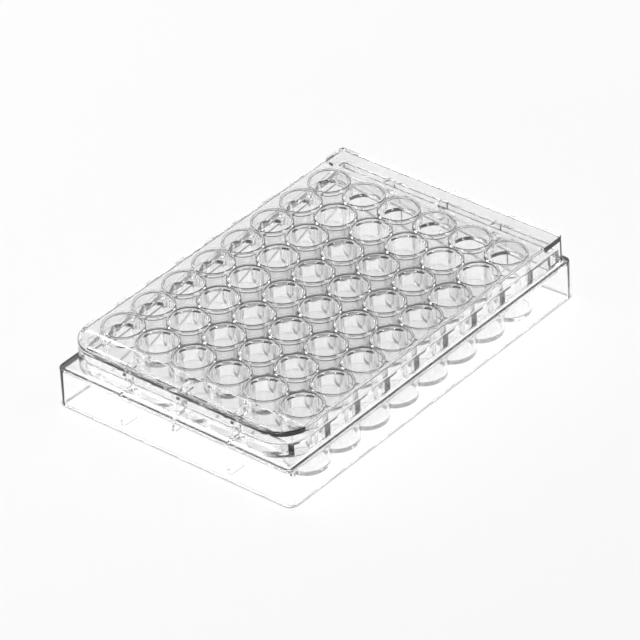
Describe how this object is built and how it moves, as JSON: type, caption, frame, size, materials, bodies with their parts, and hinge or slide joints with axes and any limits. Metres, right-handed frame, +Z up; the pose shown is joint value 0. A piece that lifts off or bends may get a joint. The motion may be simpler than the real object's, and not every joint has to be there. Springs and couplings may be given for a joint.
{
  "type": "well plate",
  "caption": "Clear rectangular cell culture plate with a grid of round flat-bottomed wells and a shallow lid resting on its ledge.",
  "frame": {"origin": "centre of the plate's footprint, on the surface that it stands on", "axes": "+X along the long side towards the nearly square corners of the lid, +Y along the short side, +Z up"},
  "size_m": [0.1278, 0.0854, 0.0213],
  "materials": {
    "plate": "clear moulded polystyrene",
    "lid": "clear moulded polystyrene"
  },
  "bodies": {
    "root": {"plate": "plate", "lid": "lid"}
  },
  "joints": []
}
